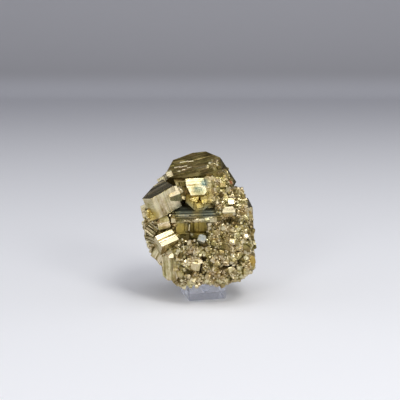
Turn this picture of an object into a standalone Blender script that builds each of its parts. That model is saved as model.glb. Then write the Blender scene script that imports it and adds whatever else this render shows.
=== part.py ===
"""A pyrite cluster that rests in the notch of a small clear acrylic stand.

Lengths in the tables are millimetres and MM turns them into metres. +Z is up and -Y faces the viewer.
The origin is the centre of the stand's underside.
"""

import math
import random
from collections import namedtuple

import bmesh
import bpy
from mathutils import Euler, Matrix, Vector

MM = 0.001

# --- the stand ---------------------------------------------------------------------------------
STAND_SIDE = 19.0
STAND_HEIGHT = 9.0
STAND_TURN = 14.0  # degrees about Z
STAND_EDGE = 0.35  # polished chamfer on its outer edges
NOTCH_FLOOR = 2.0  # height of the notch's deepest point
NOTCH_TURN = 15.0  # degrees about Z, of one of the notch's three valleys
BED_GAP = 0.3  # between the stone and the stand

# --- the stone's core --------------------------------------------------------------------------
# The outline that the whole stone shows a viewer 12 degrees above it, as (x, height at y = 0).
OUTLINE = (
    (-15.1, 69.9),
    (-11.6, 71.6),
    (-4.7, 73.7),
    (1.0, 74.3),
    (4.4, 73.1),
    (8.5, 71.1),
    (16.5, 57.5),
    (17.2, 55.2),
    (20.2, 55.2),
    (22.2, 49.3),
    (25.0, 41.2),
    (25.5, 23.5),
    (27.2, 20.7),
    (26.2, 17.1),
    (25.4, 13.0),
    (21.7, 11.2),
    (18.2, 8.2),
    (7.9, 5.9),
    (1.0, 7.7),
    (-4.7, 5.4),
    (-12.8, 5.9),
    (-19.1, 10.6),
    (-22.0, 20.0),
    (-25.5, 25.3),
    (-29.2, 33.0),
    (-30.9, 41.2),
    (-31.2, 45.8),
    (-29.8, 50.5),
    (-24.9, 55.2),
    (-18.6, 62.8),
)
SIGHT_FALL = math.tan(math.radians(12))  # how far the viewer's line falls for each mm of depth
OUTLINE_MIDDLE = -2.0  # x
# Cross sections from back to front, as (y, share of the width, lowest z, highest z). The lower half
# swells towards the viewer and the top leans back.
SECTIONS = (
    (19.0, 0.42, 27.0, 56.0),
    (15.5, 0.70, 19.0, 65.0),
    (8.0, 0.88, 12.5, 66.0),
    (0.0, 0.93, 9.8, 64.0),
    (-8.0, 0.92, 9.8, 60.0),
    (-13.5, 0.88, 9.8, 52.0),
    (-17.5, 0.76, 11.0, 42.0),
    (-20.0, 0.54, 14.0, 34.0),
)

# --- the large crystals ------------------------------------------------------------------------
# face: middle of the front face. size: width, height, depth. turn: yaw towards +X, pitch upwards and
# roll to the left, in degrees. cuts: planes that take a corner or an edge off, as a direction in the
# crystal's own axes and the share of its half size that stays.
Crystal = namedtuple("Crystal", "name face size turn cuts", defaults=((),))

LARGE_CRYSTALS = (
    Crystal(
        "crown",
        (-3.5, 1.0, 67.5),
        (30.0, 21.0, 20.0),
        (-20, 64, 22),
        (
            ((-0.93, 0, 0.36), 0.73),
            ((-0.34, 0, 0.94), 0.68),
            ((0.1, 0, 1.0), 0.86),
            ((0.75, 0, 0.67), 0.59),
            ((1, 0, 0), 0.82),
        ),
    ),
    Crystal("slope_right", (11.4, 0.0, 62.5), (14.0, 15.0, 16.0), (73, 32, 10)),
    Crystal("brow", (-10.3, -8.0, 60.5), (7.0, 7.0, 8.0), (-14, 50, 29)),
    Crystal("shoulder_a", (-17.8, -2.0, 61.9), (4.5, 4.5, 6.0), (-38, 43, 52)),
    Crystal("shoulder_b", (-20.7, -4.0, 60.2), (3.6, 3.6, 5.0), (-24, 41, 41)),
    Crystal(
        "left_cube",
        (-17.9, -17.0, 51.6),
        (17.3, 11.5, 16.0),
        (28, -5, 24),
        (((-0.87, -0.49, 0), 0.81), ((-0.53, 0.85, 0), 0.2), ((-0.24, 0.97, 0), 0.3)),
    ),
    Crystal("spark", (-13.5, -15.0, 56.6), (5.5, 5.5, 6.0), (-9, 49, 27)),
    Crystal("bright", (-3.4, -13.0, 58.7), (9.5, 9.5, 14.0), (8, 42, 2)),
    Crystal("pale_strip", (2.9, -11.0, 56.6), (3.5, 13.0, 8.0), (28, 16, -1)),
    Crystal("rough_right", (6.8, -10.0, 57.4), (11.0, 13.0, 15.0), (10, 26, 3)),
    Crystal("ledge", (-4.4, -19.0, 43.3), (22.0, 2.4, 14.0), (0, -12, 1)),
    Crystal("nook_left", (-10.2, -15.8, 39.3), (6.4, 6.0, 6.0), (18, -6, 0)),
    Crystal("nook_right", (-2.3, -12.9, 39.3), (9.4, 6.0, 6.0), (-12, -4, 2)),
    Crystal("pentagon", (-19.2, -18.0, 41.8), (6.0, 6.0, 7.0), (-6, 21, 16), (((-1, 0, 1), 0.7),)),
    Crystal("cheek", (-28.4, -11.0, 46.3), (4.5, 6.5, 8.0), (-36, 19, 29)),
    Crystal("golden", (-24.7, -16.5, 46.0), (4.5, 4.5, 6.0), (18, -6, 17)),
    Crystal("ridge_a", (-25.2, -14.0, 37.6), (6.5, 5.0, 8.0), (-27, 28, -26)),
    Crystal("ridge_b", (-25.3, -13.0, 33.3), (6.5, 5.0, 8.0), (-31, 16, -11)),
    Crystal("striped", (-17.4, -21.0, 35.2), (9.6, 6.8, 9.8), (11, 48, 24)),
    Crystal("olive_left", (-21.5, -15.0, 29.2), (7.0, 7.5, 9.0), (-30, -1, -33)),
    Crystal(
        "foot_tall",
        (-16.3, -18.0, 19.2),
        (8.2, 12.5, 10.0),
        (-21, 4, 6),
        (((-0.7, 0, -0.7), 0.76), ((0.7, 0, -0.7), 0.86)),
    ),
    Crystal("foot_side", (-11.2, -19.0, 21.0), (7.0, 6.5, 8.0), (28, 14, -10)),
    Crystal("foot_pale", (-4.9, -21.0, 22.6), (6.5, 6.5, 7.0), (16, 8, -15)),
    Crystal("silver", (-0.5, -22.0, 35.3), (3.8, 3.8, 5.0), (8, 44, -14)),
    Crystal(
        "block",
        (15.5, -13.0, 50.1),
        (12.0, 15.0, 15.0),
        (15, 17, -1),
        (((0.95, 0, 0.3), 0.77), ((-0.6, 0, 0.8), 0.88)),
    ),
    Crystal("block_facet", (13.5, -16.0, 52.2), (3.2, 3.2, 5.0), (7, 32, 5)),
    Crystal("block_glint", (12.4, -18.5, 48.4), (6.5, 4.0, 6.0), (-5, 50, 6)),
    Crystal("right_wall", (21.8, -8.0, 35.3), (8.0, 17.0, 12.0), (31, 16, -6)),
    Crystal("lump_high", (20.7, -11.0, 27.9), (6.0, 6.0, 8.0), (21, 17, 0)),
    Crystal("lump_low", (20.2, -12.0, 20.5), (6.0, 6.0, 8.0), (18, 0, -23)),
    Crystal(
        "corner_right",
        (25.0, -7.0, 21.2),
        (5.0, 5.0, 7.0),
        (38, -2, 1),
        (
            ((1, 0, 1), 0.72),
            ((1, 0, -1), 0.74),
            ((-1, 0, 1), 0.78),
            ((1, -1, 0), 0.78),
            ((0, -1, 1), 0.76),
            ((0, -1, -1), 0.8),
        ),
    ),
    Crystal("seat", (0.0, -6.5, 9.0), (13.0, 13.0, 13.0), (0, 0, 0)),
    Crystal("back_crown", (-5.0, 14.5, 61.0), (17.0, 14.0, 14.0), (172, 30, -12)),
    Crystal("back_crest", (8.5, 13.0, 60.5), (10.0, 11.0, 12.0), (150, 22, 16)),
    Crystal("back_left", (-16.0, 15.5, 50.0), (12.0, 13.0, 13.0), (208, 14, 10)),
    Crystal("back_right", (13.5, 17.0, 45.5), (13.0, 14.0, 14.0), (151, 6, 21)),
    Crystal("back_middle", (-4.5, 21.5, 40.5), (15.0, 13.0, 15.0), (187, -5, 31)),
    Crystal("back_foot_left", (-15.0, 17.0, 28.0), (12.0, 12.0, 14.0), (214, -14, 8)),
    Crystal("back_foot_right", (8.5, 18.5, 25.5), (13.0, 11.0, 14.0), (164, -15, -24)),
    Crystal("flank", (-28.0, -6.0, 34.0), (8.0, 8.0, 9.0), (-70, -4, -12)),
    Crystal("side_left", (-28.0, 1.5, 44.0), (13.0, 12.0, 12.0), (-97, 6, 14)),
    Crystal("side_left_low", (-24.0, 0.5, 28.5), (12.0, 12.0, 12.0), (-80, -12, -20)),
    Crystal("side_right", (24.2, 4.5, 41.0), (12.0, 13.0, 12.0), (98, 5, 12)),
    Crystal("side_right_low", (24.0, 5.0, 24.0), (11.0, 11.0, 12.0), (80, -12, -9)),
)

# Pockets between the crystals, made as boxes that are taken out of the core.
POCKETS = (
    Crystal("alcove", (-4.0, -24.0, 50.3), (21.0, 13.0, 20.0), (0, 0, 0)),
    Crystal("by_striped", (-9.2, -23.0, 32.5), (4.5, 11.0, 7.0), (0, 0, 4)),
    Crystal("by_block", (10.8, -14.0, 54.5), (3.5, 6.5, 7.0), (0, 0, 10)),
    Crystal("under_block", (16.5, -17.0, 42.6), (16.0, 2.6, 7.0), (8, 0, 0)),
    Crystal("by_foot", (-1.2, -22.0, 19.0), (2.6, 5.5, 6.0), (0, 0, 8)),
    Crystal("nook_left_hollow", (-10.4, -24.0, 39.3), (6.4, 5.8, 8.4), (0, 0, 0)),
    Crystal("nook_right_hollow", (-2.3, -24.0, 39.3), (9.8, 5.8, 11.4), (0, 0, 0)),
)

# --- the small crystals ------------------------------------------------------------------------
SEED = 11
TRIES = 3200
FINE_SIZES = (2.4, 4.2)  # over the lower front and the right
KNOB_SIZES = (3.4, 6.0)  # over the rest of the front
BACK_SIZES = (5.0, 10.0)  # over the back and the sides
BACK_FROM = 0.15  # a surface that faces +Y by at least this much is the back
FINE_RIGHT_OF = 4.0  # x of the finely grown right side
FINE_BELOW = 31.0  # height at x = 0 of the finely grown lower part
FINE_RISE = 0.25  # how steeply that height rises to the right
SIDES = (0.8, 1.15)  # a small crystal's sides, as shares of its size
SUNK = (0.1, 0.3)  # how deep its middle lies under the surface, as a share of its size
SUNK_MORE = 0.25  # how much deeper it lies where it would stand out of the outline
CLEARANCE = 0.3  # how far it stays from a large crystal, as a share of its size
CROWDING = 0.62  # least distance between two neighbours, as a share of the larger one's size
LOWEST = 8.0  # height that the small crystals don't hang below

PYRITE_COLOUR = (0.55, 0.46, 0.24, 1.0)
ACRYLIC_COLOUR = (0.93, 0.95, 0.97, 1.0)


def clear_scene():
    for obj in list(bpy.data.objects):
        bpy.data.objects.remove(obj)


def material(name, colour, roughness, metallic=0.0, transmission=0.0):
    made = bpy.data.materials.new(name)
    made.use_nodes = True
    shader = made.node_tree.nodes["Principled BSDF"]
    shader.inputs["Base Color"].default_value = colour
    shader.inputs["Roughness"].default_value = roughness
    shader.inputs["Metallic"].default_value = metallic
    shader.inputs["Transmission Weight"].default_value = transmission
    made.diffuse_color = colour
    return made


def object_of(name, shape, collection=None):
    """A new object that holds the bmesh, which is freed."""
    mesh = bpy.data.meshes.new(name)
    shape.to_mesh(mesh)
    shape.free()
    obj = bpy.data.objects.new(name, mesh)
    (collection or bpy.context.scene.collection).objects.link(obj)
    return obj


def helper(obj):
    """Marks a cutter or a guide, which is no part of the object."""
    obj.hide_render = True
    obj.display_type = "WIRE"
    return obj


def cut(shape, point, normal):
    """Takes off what lies past the plane, and closes the cut."""
    geometry = shape.verts[:] + shape.edges[:] + shape.faces[:]
    bmesh.ops.bisect_plane(
        shape, geom=geometry, dist=1e-7, plane_co=point, plane_no=normal, clear_outer=True
    )
    rim = [edge for edge in shape.edges if edge.is_boundary]
    if rim:
        bmesh.ops.contextual_create(shape, geom=rim)
        bmesh.ops.recalc_face_normals(shape, faces=shape.faces[:])


def turned(turn):
    yaw, pitch, roll = (math.radians(angle) for angle in turn)
    return Euler((-pitch, -roll, yaw), "YXZ").to_matrix().to_4x4()


def box(size, cuts=()):
    """A crystal about its own centre, its front face towards -Y."""
    width, height, depth = size
    shape = bmesh.new()
    bmesh.ops.create_cube(shape, size=MM)
    bmesh.ops.scale(shape, vec=(width, depth, height), verts=shape.verts)
    half = Vector((width, depth, height)) * (MM / 2)
    for direction, share in cuts:
        normal = Vector(direction).normalized()
        reach = sum(abs(a * b) for a, b in zip(normal, half))
        cut(shape, normal * reach * share, normal)
    return shape


def axes_of(crystal):
    """The crystal's own axes in the world, with their origin at its centre."""
    turn = turned(crystal.turn)
    into = turn @ Vector((0, crystal.size[2] * MM / 2, 0))
    return Matrix.Translation(Vector(crystal.face) * MM + into) @ turn


def placed_box(row, collection):
    shape = box(row.size, row.cuts)
    bmesh.ops.transform(shape, matrix=axes_of(row), verts=shape.verts)
    return helper(object_of(row.name, shape, collection))


def core():
    """The body of the stone, lofted through its sections."""
    heights = [height for _, height in OUTLINE]
    low, span = min(heights), max(heights) - min(heights)
    shape = bmesh.new()
    rings = []
    for y, wide, bottom, top in SECTIONS:
        ring = []
        for x, height in OUTLINE:
            across = OUTLINE_MIDDLE + (x - OUTLINE_MIDDLE) * wide
            up = bottom + (height - low) / span * (top - bottom)
            ring.append(shape.verts.new(Vector((across, y, up)) * MM))
        rings.append(ring)
    for back, front in zip(rings, rings[1:]):
        for i in range(len(OUTLINE)):
            j = (i + 1) % len(OUTLINE)
            shape.faces.new((back[i], back[j], front[j], front[i]))
    shape.faces.new(rings[0])
    shape.faces.new(rings[-1])
    bmesh.ops.triangulate(shape, faces=shape.faces[:])
    bmesh.ops.recalc_face_normals(shape, faces=shape.faces[:])
    return object_of("pyrite_cluster", shape)


def surface_points(obj, chance, count):
    """Random points on the mesh, as (point, normal), each face as likely as it is large."""
    faces = [face for face in obj.data.polygons if face.area > 0]
    areas = [face.area for face in faces]
    vertices = obj.data.vertices
    for face in chance.choices(faces, weights=areas, k=count):
        a, b, c = (vertices[index].co for index in face.vertices)
        u, v = chance.random(), chance.random()
        if u + v > 1:
            u, v = 1 - u, 1 - v
        yield a + (b - a) * u + (c - a) * v, face.normal.copy()


def sizes_at(point, normal):
    """The sizes of small crystals at a point: the lower front and the right are finely grown."""
    if normal.y > BACK_FROM:
        return BACK_SIZES
    x, z = point.x / MM, point.z / MM
    fine = x > FINE_RIGHT_OF or z < FINE_BELOW + FINE_RISE * x
    return FINE_SIZES if fine else KNOB_SIZES


def in_outline(point):
    """Whether the point stays inside the outline that the viewer sees, and above the stand's foot."""
    x, height = point.x / MM, point.z / MM + SIGHT_FALL * point.y / MM
    inside = False
    for (x1, z1), (x2, z2) in zip(OUTLINE, OUTLINE[1:] + OUTLINE[:1]):
        if (z1 > height) != (z2 > height) and x < x1 + (height - z1) * (x2 - x1) / (z2 - z1):
            inside = not inside
    return inside and point.z > LOWEST * MM


def on_large(point, size, places):
    """Whether a small crystal of this size would stand on a large crystal or in a pocket."""
    apart = size * CLEARANCE
    for inverse, (width, height, depth) in places:
        across, into, up = (inverse @ point) / MM
        if (
            abs(across) < width / 2 + apart
            and abs(up) < height / 2 + apart
            and abs(into) < depth / 2 + apart
        ):
            return True
    return False


def scattered_crystals(obj, chance, collection):
    """Crystals that stand half out of the core, no two of them at one place."""
    places = [(axes_of(row).inverted(), row.size) for row in LARGE_CRYSTALS + POCKETS]
    placed = []
    for point, normal in surface_points(obj, chance, TRIES):
        size = chance.uniform(*sizes_at(point, normal))
        spin = Euler([chance.uniform(0, math.tau) for _ in range(3)]).to_matrix().to_4x4()
        sides = [size * chance.uniform(*SIDES) for _ in range(3)]
        depth = size * chance.uniform(*SUNK)
        if any((point - at).length < CROWDING * max(size, other) * MM for at, other in placed):
            continue
        if on_large(point, size, places):
            continue
        shape = box(sides)
        place = Matrix.Translation(point - normal * depth * MM) @ spin
        bmesh.ops.transform(shape, matrix=place, verts=shape.verts)
        if not all(in_outline(vertex.co) for vertex in shape.verts):
            # It is grown over deeper here, or not at all.
            deeper = -normal * size * SUNK_MORE * MM
            bmesh.ops.translate(shape, vec=deeper, verts=shape.verts)
        if not all(in_outline(vertex.co) for vertex in shape.verts):
            shape.free()
            continue
        placed.append((point, size))
        helper(object_of(f"small_{len(placed)}", shape, collection))


def stand(name, grow=0.0):
    """The clear block with its notch, an inside corner of three square faces. A gap can be added."""
    side, height = STAND_SIDE / 2 + grow, STAND_HEIGHT + grow
    shape = bmesh.new()
    bmesh.ops.create_cube(shape, size=2 * MM)
    bmesh.ops.scale(shape, vec=(side, side, height / 2), verts=shape.verts)
    bmesh.ops.translate(shape, vec=(0, 0, height / 2 * MM), verts=shape.verts)
    bmesh.ops.bevel(
        shape,
        geom=shape.edges[:],
        offset=STAND_EDGE * MM,
        offset_type="OFFSET",
        segments=1,
        affect="EDGES",
    )
    bmesh.ops.rotate(
        shape, matrix=Matrix.Rotation(math.radians(STAND_TURN), 3, "Z"), verts=shape.verts
    )
    return object_of(name, shape)


def notch(name, grow=0.0):
    """The cube, corner down, whose lower corner makes the notch."""
    side = 4 * STAND_SIDE * MM
    shape = bmesh.new()
    bmesh.ops.create_cube(shape, size=side)
    corner_down = Vector((1, 1, 1)).rotation_difference(Vector((0, 0, 1))).to_matrix()
    turn = Matrix.Rotation(math.radians(NOTCH_TURN), 3, "Z") @ corner_down
    bmesh.ops.rotate(shape, matrix=turn, verts=shape.verts)
    lowest = min(vertex.co.z for vertex in shape.verts)
    bmesh.ops.translate(
        shape, vec=(0, 0, (NOTCH_FLOOR + grow) * MM - lowest), verts=shape.verts
    )
    return object_of(name, shape)


def boolean(obj, name, operation, other):
    change = obj.modifiers.new(name, "BOOLEAN")
    change.operation = operation
    change.solver = "EXACT"
    if isinstance(other, bpy.types.Collection):
        change.operand_type = "COLLECTION"
        change.collection = other
    else:
        change.object = other


def islands(shape):
    """The separate shells of a mesh, as lists of faces."""
    left = set(shape.faces)
    while left:
        shell, front = [], [left.pop()]
        while front:
            face = front.pop()
            shell.append(face)
            beside = {other for edge in face.edges for other in edge.link_faces} & left
            left -= beside
            front.extend(beside)
        yield shell


def keep_outer_shell(obj):
    """Applies the modifiers, then fills the sealed pockets that the crystals leave between them."""
    graph = bpy.context.evaluated_depsgraph_get()
    mesh = bpy.data.meshes.new_from_object(obj.evaluated_get(graph))
    obj.modifiers.clear()
    obj.data = mesh
    shape = bmesh.new()
    shape.from_mesh(mesh)
    shells = sorted(islands(shape), key=len)
    inner = [face for shell in shells[:-1] for face in shell]
    bmesh.ops.delete(shape, geom=inner, context="FACES")
    shape.to_mesh(mesh)
    shape.free()


def group(name):
    made = bpy.data.collections.new(name)
    made.hide_render = True
    bpy.context.scene.collection.children.link(made)
    return made


def build():
    clear_scene()
    chance = random.Random(SEED)
    growth, pockets = group("growth"), group("pockets")

    stone = core()
    scattered_crystals(stone, chance, growth)
    for crystal in LARGE_CRYSTALS:
        placed_box(crystal, growth)
    for pocket in POCKETS:
        placed_box(pocket, pockets)
    boolean(stone, "pockets", "DIFFERENCE", pockets)
    boolean(stone, "grown together", "UNION", growth)
    bed = helper(stand("bed_clearance", BED_GAP))
    # A face of the notch slopes at 54.7 degrees, so a gap square to it is this much along Z.
    boolean(bed, "notch", "DIFFERENCE", helper(notch("bed_notch", BED_GAP * math.sqrt(3))))
    boolean(stone, "bed", "DIFFERENCE", bed)
    keep_outer_shell(stone)

    block = stand("acrylic_stand")
    boolean(block, "notch", "DIFFERENCE", helper(notch("stand_notch")))

    stone.data.materials.append(material("pyrite", PYRITE_COLOUR, 0.3, metallic=1.0))
    block.data.materials.append(material("acrylic", ACRYLIC_COLOUR, 0.03, transmission=1.0))


build()
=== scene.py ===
# Looks of a pyrite cluster on its clear acrylic stand: crystals with growth lines, a crust of fine
# grains, the polished stand, a pale studio. Tables are in millimetres, and MM turns them into metres.
import math
import random
from bisect import bisect
from collections import namedtuple
from itertools import product

import bmesh
import bpy
import numpy as np
from mathutils import Euler, Matrix, Vector


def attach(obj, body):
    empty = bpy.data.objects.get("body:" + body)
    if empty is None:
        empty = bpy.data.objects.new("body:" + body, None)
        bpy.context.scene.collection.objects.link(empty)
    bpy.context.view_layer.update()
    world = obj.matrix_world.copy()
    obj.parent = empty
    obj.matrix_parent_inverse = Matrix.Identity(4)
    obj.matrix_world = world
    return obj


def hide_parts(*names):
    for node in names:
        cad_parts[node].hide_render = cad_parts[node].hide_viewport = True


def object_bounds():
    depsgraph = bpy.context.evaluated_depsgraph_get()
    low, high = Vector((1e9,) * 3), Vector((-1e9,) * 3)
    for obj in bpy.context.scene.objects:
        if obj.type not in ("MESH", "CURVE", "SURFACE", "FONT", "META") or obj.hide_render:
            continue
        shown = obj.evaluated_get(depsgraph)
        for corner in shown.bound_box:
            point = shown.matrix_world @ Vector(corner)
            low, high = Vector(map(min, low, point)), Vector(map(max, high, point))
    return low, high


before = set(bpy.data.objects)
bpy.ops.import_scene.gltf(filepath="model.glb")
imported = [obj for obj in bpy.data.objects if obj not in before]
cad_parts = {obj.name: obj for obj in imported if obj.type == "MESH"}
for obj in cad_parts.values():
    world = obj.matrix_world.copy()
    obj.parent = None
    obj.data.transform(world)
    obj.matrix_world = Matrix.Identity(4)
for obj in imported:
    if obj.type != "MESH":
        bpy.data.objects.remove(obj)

MM = 0.001
CAD_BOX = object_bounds()

# --- the stone's shape, with the values of its solid ---
# The outline that the whole stone shows a viewer 12 degrees above it, as (x, height at y = 0).
OUTLINE = (
    (-15.1, 69.9), (-11.6, 71.6), (-4.7, 73.7), (1.0, 74.3), (4.4, 73.1), (8.5, 71.1), (16.5, 57.5),
    (17.2, 55.2), (20.2, 55.2), (22.2, 49.3), (25.0, 41.2), (25.5, 23.5), (27.2, 20.7),
    (26.2, 17.1), (25.4, 13.0), (21.7, 11.2), (18.2, 8.2), (7.9, 5.9), (1.0, 7.7), (-4.7, 5.4),
    (-12.8, 5.9), (-19.1, 10.6), (-22.0, 20.0), (-25.5, 25.3), (-29.2, 33.0), (-30.9, 41.2),
    (-31.2, 45.8), (-29.8, 50.5), (-24.9, 55.2), (-18.6, 62.8),
)
TILT = math.radians(12)
SIGHT_FALL = math.tan(TILT)  # how far that viewer's line falls for each mm of depth
OUTLINE_MIDDLE = -2.0  # x
# The core's cross sections from back to front, as (y, share of the width, lowest z, highest z).
SECTIONS = (
    (19.0, 0.42, 27.0, 56.0),
    (15.5, 0.70, 19.0, 65.0),
    (8.0, 0.88, 12.5, 66.0),
    (0.0, 0.93, 9.8, 64.0),
    (-8.0, 0.92, 9.8, 60.0),
    (-13.5, 0.88, 9.8, 52.0),
    (-17.5, 0.76, 11.0, 42.0),
    (-20.0, 0.54, 14.0, 34.0),
)

# face: middle of the front face. size: width, height, depth. turn: yaw, pitch, roll in degrees.
# cuts: planes that take a corner or an edge off. lines: the way the growth lines of the front face
# run. relief: how deep they are. tarnish: 0 is a fresh bright face, 1 a brown one. crust: the share
# of it that fine grains cover. bands: the front face's strips from its lower or left edge on, as
# (width as a share of the face, depth of the step above it, tarnish), where they're not random.
# slant: how far the front face's lines are turned from its edges, in degrees to the left.
Crystal = namedtuple(
    "Crystal",
    "name face size turn cuts lines relief tarnish crust bands slant",
    defaults=((), "across", 0.10, 0.35, 0.0, (), 0.0),
)

# The strips of a face with deep ridges.
RIDGED = (
    (0.16, 0.25, 0.2), (0.1, 0.0, 1.2), (0.2, 0.25, 0.3), (0.14, 0.1, 1.3), (0.09, 0.25, 0.0),
    (0.15, 0.0, 0.9), (0.16, 0.0, 0.2),
)

# The large crystals that the solid has too, from the crown down.
FRONT_CRYSTALS = (
    Crystal(
        "crown", (-3.5, 1.0, 67.5), (30.0, 21.0, 20.0), (-20, 64, 22),
        (
            ((-0.93, 0, 0.36), 0.73), ((-0.34, 0, 0.94), 0.68), ((0.1, 0, 1.0), 0.86),
            ((0.75, 0, 0.67), 0.59), ((1, 0, 0), 0.82), ((-0.3, 0, -0.95), 0.8),
        ),
        relief=0.25, tarnish=1.0, slant=9.0,
    ),
    Crystal("slope_right", (11.4, 0.0, 62.5), (14.0, 15.0, 16.0), (73, 32, 10), tarnish=1.0),
    Crystal("brow", (-10.3, -8.0, 60.5), (7.0, 7.0, 8.0), (-14, 50, 29), tarnish=0.9),
    Crystal("shoulder_a", (-17.8, -2.0, 61.9), (4.5, 4.5, 6.0), (-38, 43, 52), tarnish=-0.1),
    Crystal("shoulder_b", (-20.7, -4.0, 60.2), (3.6, 3.6, 5.0), (-24, 41, 41), tarnish=0.1),
    Crystal(
        "left_cube", (-17.9, -17.0, 51.6), (17.3, 11.5, 16.0), (28, -5, 24),
        (
            ((-0.87, -0.49, 0), 0.81), ((-0.53, 0.85, 0), 0.2), ((-0.24, 0.97, 0), 0.3),
            ((1, 0, 0), 0.8),
        ),
        lines="up", relief=0.16, tarnish=0.12,
    ),
    Crystal(
        "spark", (-14.4, -15.2, 56.8), (5.5, 5.5, 6.0), (-9, 49, 27), relief=0.04, tarnish=-0.3,
    ),
    Crystal(
        "bright", (-3.4, -13.0, 58.7), (9.5, 9.5, 14.0), (8, 42, 2),
        (((-1, 0, -0.32), 0.72), ((1, 0, -0.9), 0.86)), relief=0.05, tarnish=0.25,
    ),
    Crystal(
        "pale_strip", (2.9, -11.0, 56.6), (3.5, 13.0, 8.0), (28, 16, -1), relief=0.06, tarnish=0.5,
    ),
    Crystal(
        "rough_right", (6.8, -10.0, 57.4), (11.0, 13.0, 15.0), (10, 26, 3), lines="up", relief=0.3,
        tarnish=0.6, crust=0.6,
    ),
    Crystal(
        "ledge", (-4.4, -19.0, 43.3), (22.0, 2.4, 14.0), (0, -12, 1), lines="up", relief=0.3,
        tarnish=0.35,
    ),
    Crystal(
        "nook_left", (-10.2, -15.8, 39.3), (6.4, 6.0, 6.0), (18, -6, 0), lines="up", relief=0.3,
        tarnish=0.8,
    ),
    Crystal(
        "nook_right", (-2.3, -12.9, 39.3), (9.4, 6.0, 6.0), (-12, -4, 2), lines="up", relief=0.3,
        tarnish=0.9,
    ),
    Crystal(
        "pentagon", (-19.2, -18.0, 41.8), (6.0, 6.0, 7.0), (-6, 21, 16),
        (((-1, 0, 1), 0.7), ((1, 0, 1), 0.86), ((1, 0, -1), 0.9)), tarnish=0.7,
    ),
    Crystal("cheek", (-28.4, -11.0, 46.3), (4.5, 6.5, 8.0), (-36, 19, 29)),
    Crystal(
        "golden", (-24.4, -17.0, 45.8), (6.4, 5.8, 6.0), (-4, -6, 17), tarnish=0.6, crust=0.35,
        bands=RIDGED,
    ),
    Crystal(
        "ridge_a", (-25.2, -14.0, 37.6), (6.5, 5.0, 8.0), (-27, 28, -26), relief=0.5, tarnish=-0.15,
        bands=RIDGED,
    ),
    Crystal(
        "ridge_b", (-25.3, -13.0, 33.3), (6.5, 5.0, 8.0), (-31, 16, -11), relief=0.5, tarnish=-0.15,
        bands=RIDGED,
    ),
    Crystal(
        "striped", (-17.4, -21.0, 35.2), (9.6, 6.8, 7.6), (11, 48, 24), tarnish=0.42,
        bands=(
            (0.34, 0.0, 0.0), (0.06, 0.25, 1.2), (0.08, 0.1, 0.1), (0.17, 0.25, 0.7),
            (0.35, 0.0, 0.1),
        ),
    ),
    Crystal(
        "olive_left", (-21.0, -15.8, 27.4), (6.6, 11.5, 9.0), (-30, -1, -30), lines="up",
        tarnish=0.25,
    ),
    Crystal(
        "foot_tall", (-16.3, -18.0, 19.2), (8.2, 12.5, 10.0), (-21, 4, 6),
        (((-0.7, 0, -0.7), 0.76), ((0.7, 0, -0.7), 0.86)), lines="up", relief=0.2, tarnish=0.45,
    ),
    Crystal("foot_side", (-11.2, -19.0, 21.0), (7.0, 6.5, 8.0), (28, 14, -10), crust=0.3),
    Crystal("foot_pale", (-4.9, -21.0, 22.6), (6.5, 6.5, 7.0), (16, 8, -15), crust=0.1),
    Crystal(
        "silver", (-0.5, -22.0, 35.3), (3.8, 3.8, 5.0), (8, 40, -24),
        (((1, 0, 0.6), 0.8), ((-1, 0, 1), 0.8)), tarnish=0.75,
    ),
    Crystal(
        "block", (15.5, -13.0, 50.1), (12.0, 15.0, 15.0), (15, 17, -1),
        (((0.95, 0, 0.3), 0.77), ((-0.6, 0, 0.8), 0.88)), crust=0.8,
    ),
    Crystal(
        "block_facet", (13.5, -16.0, 52.2), (3.2, 3.2, 5.0), (7, 32, 5),
        (((1, 0, 1), 0.8), ((-1, 0, -0.7), 0.85)), tarnish=0.1,
    ),
    Crystal(
        "block_glint", (12.4, -18.5, 48.4), (6.2, 4.0, 3.2), (-5, 50, 6),
        (((-1, 0, 0.9), 0.66), ((1, 0, 0.5), 0.74), ((0.6, 0, -1), 0.8), ((-0.4, 0, -1), 0.9)),
        tarnish=-0.2,
    ),
    Crystal(
        "right_wall", (21.8, -8.0, 35.3), (8.0, 17.0, 12.0), (31, 16, -6), tarnish=0.9, crust=0.12,
    ),
    Crystal("lump_high", (20.7, -11.0, 27.9), (6.0, 6.0, 8.0), (21, 17, 0), crust=0.4),
    Crystal("lump_low", (20.2, -12.0, 20.5), (6.0, 6.0, 8.0), (18, 0, -23), crust=0.4),
    Crystal(
        "corner_right", (25.0, -7.0, 21.2), (5.0, 5.0, 7.0), (38, -2, 1),
        (
            ((1, 0, 1), 0.72), ((1, 0, -1), 0.74), ((-1, 0, 1), 0.78), ((1, -1, 0), 0.78),
            ((0, -1, 1), 0.76), ((0, -1, -1), 0.8),
        ),
        tarnish=0.6,
    ),
)
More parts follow.
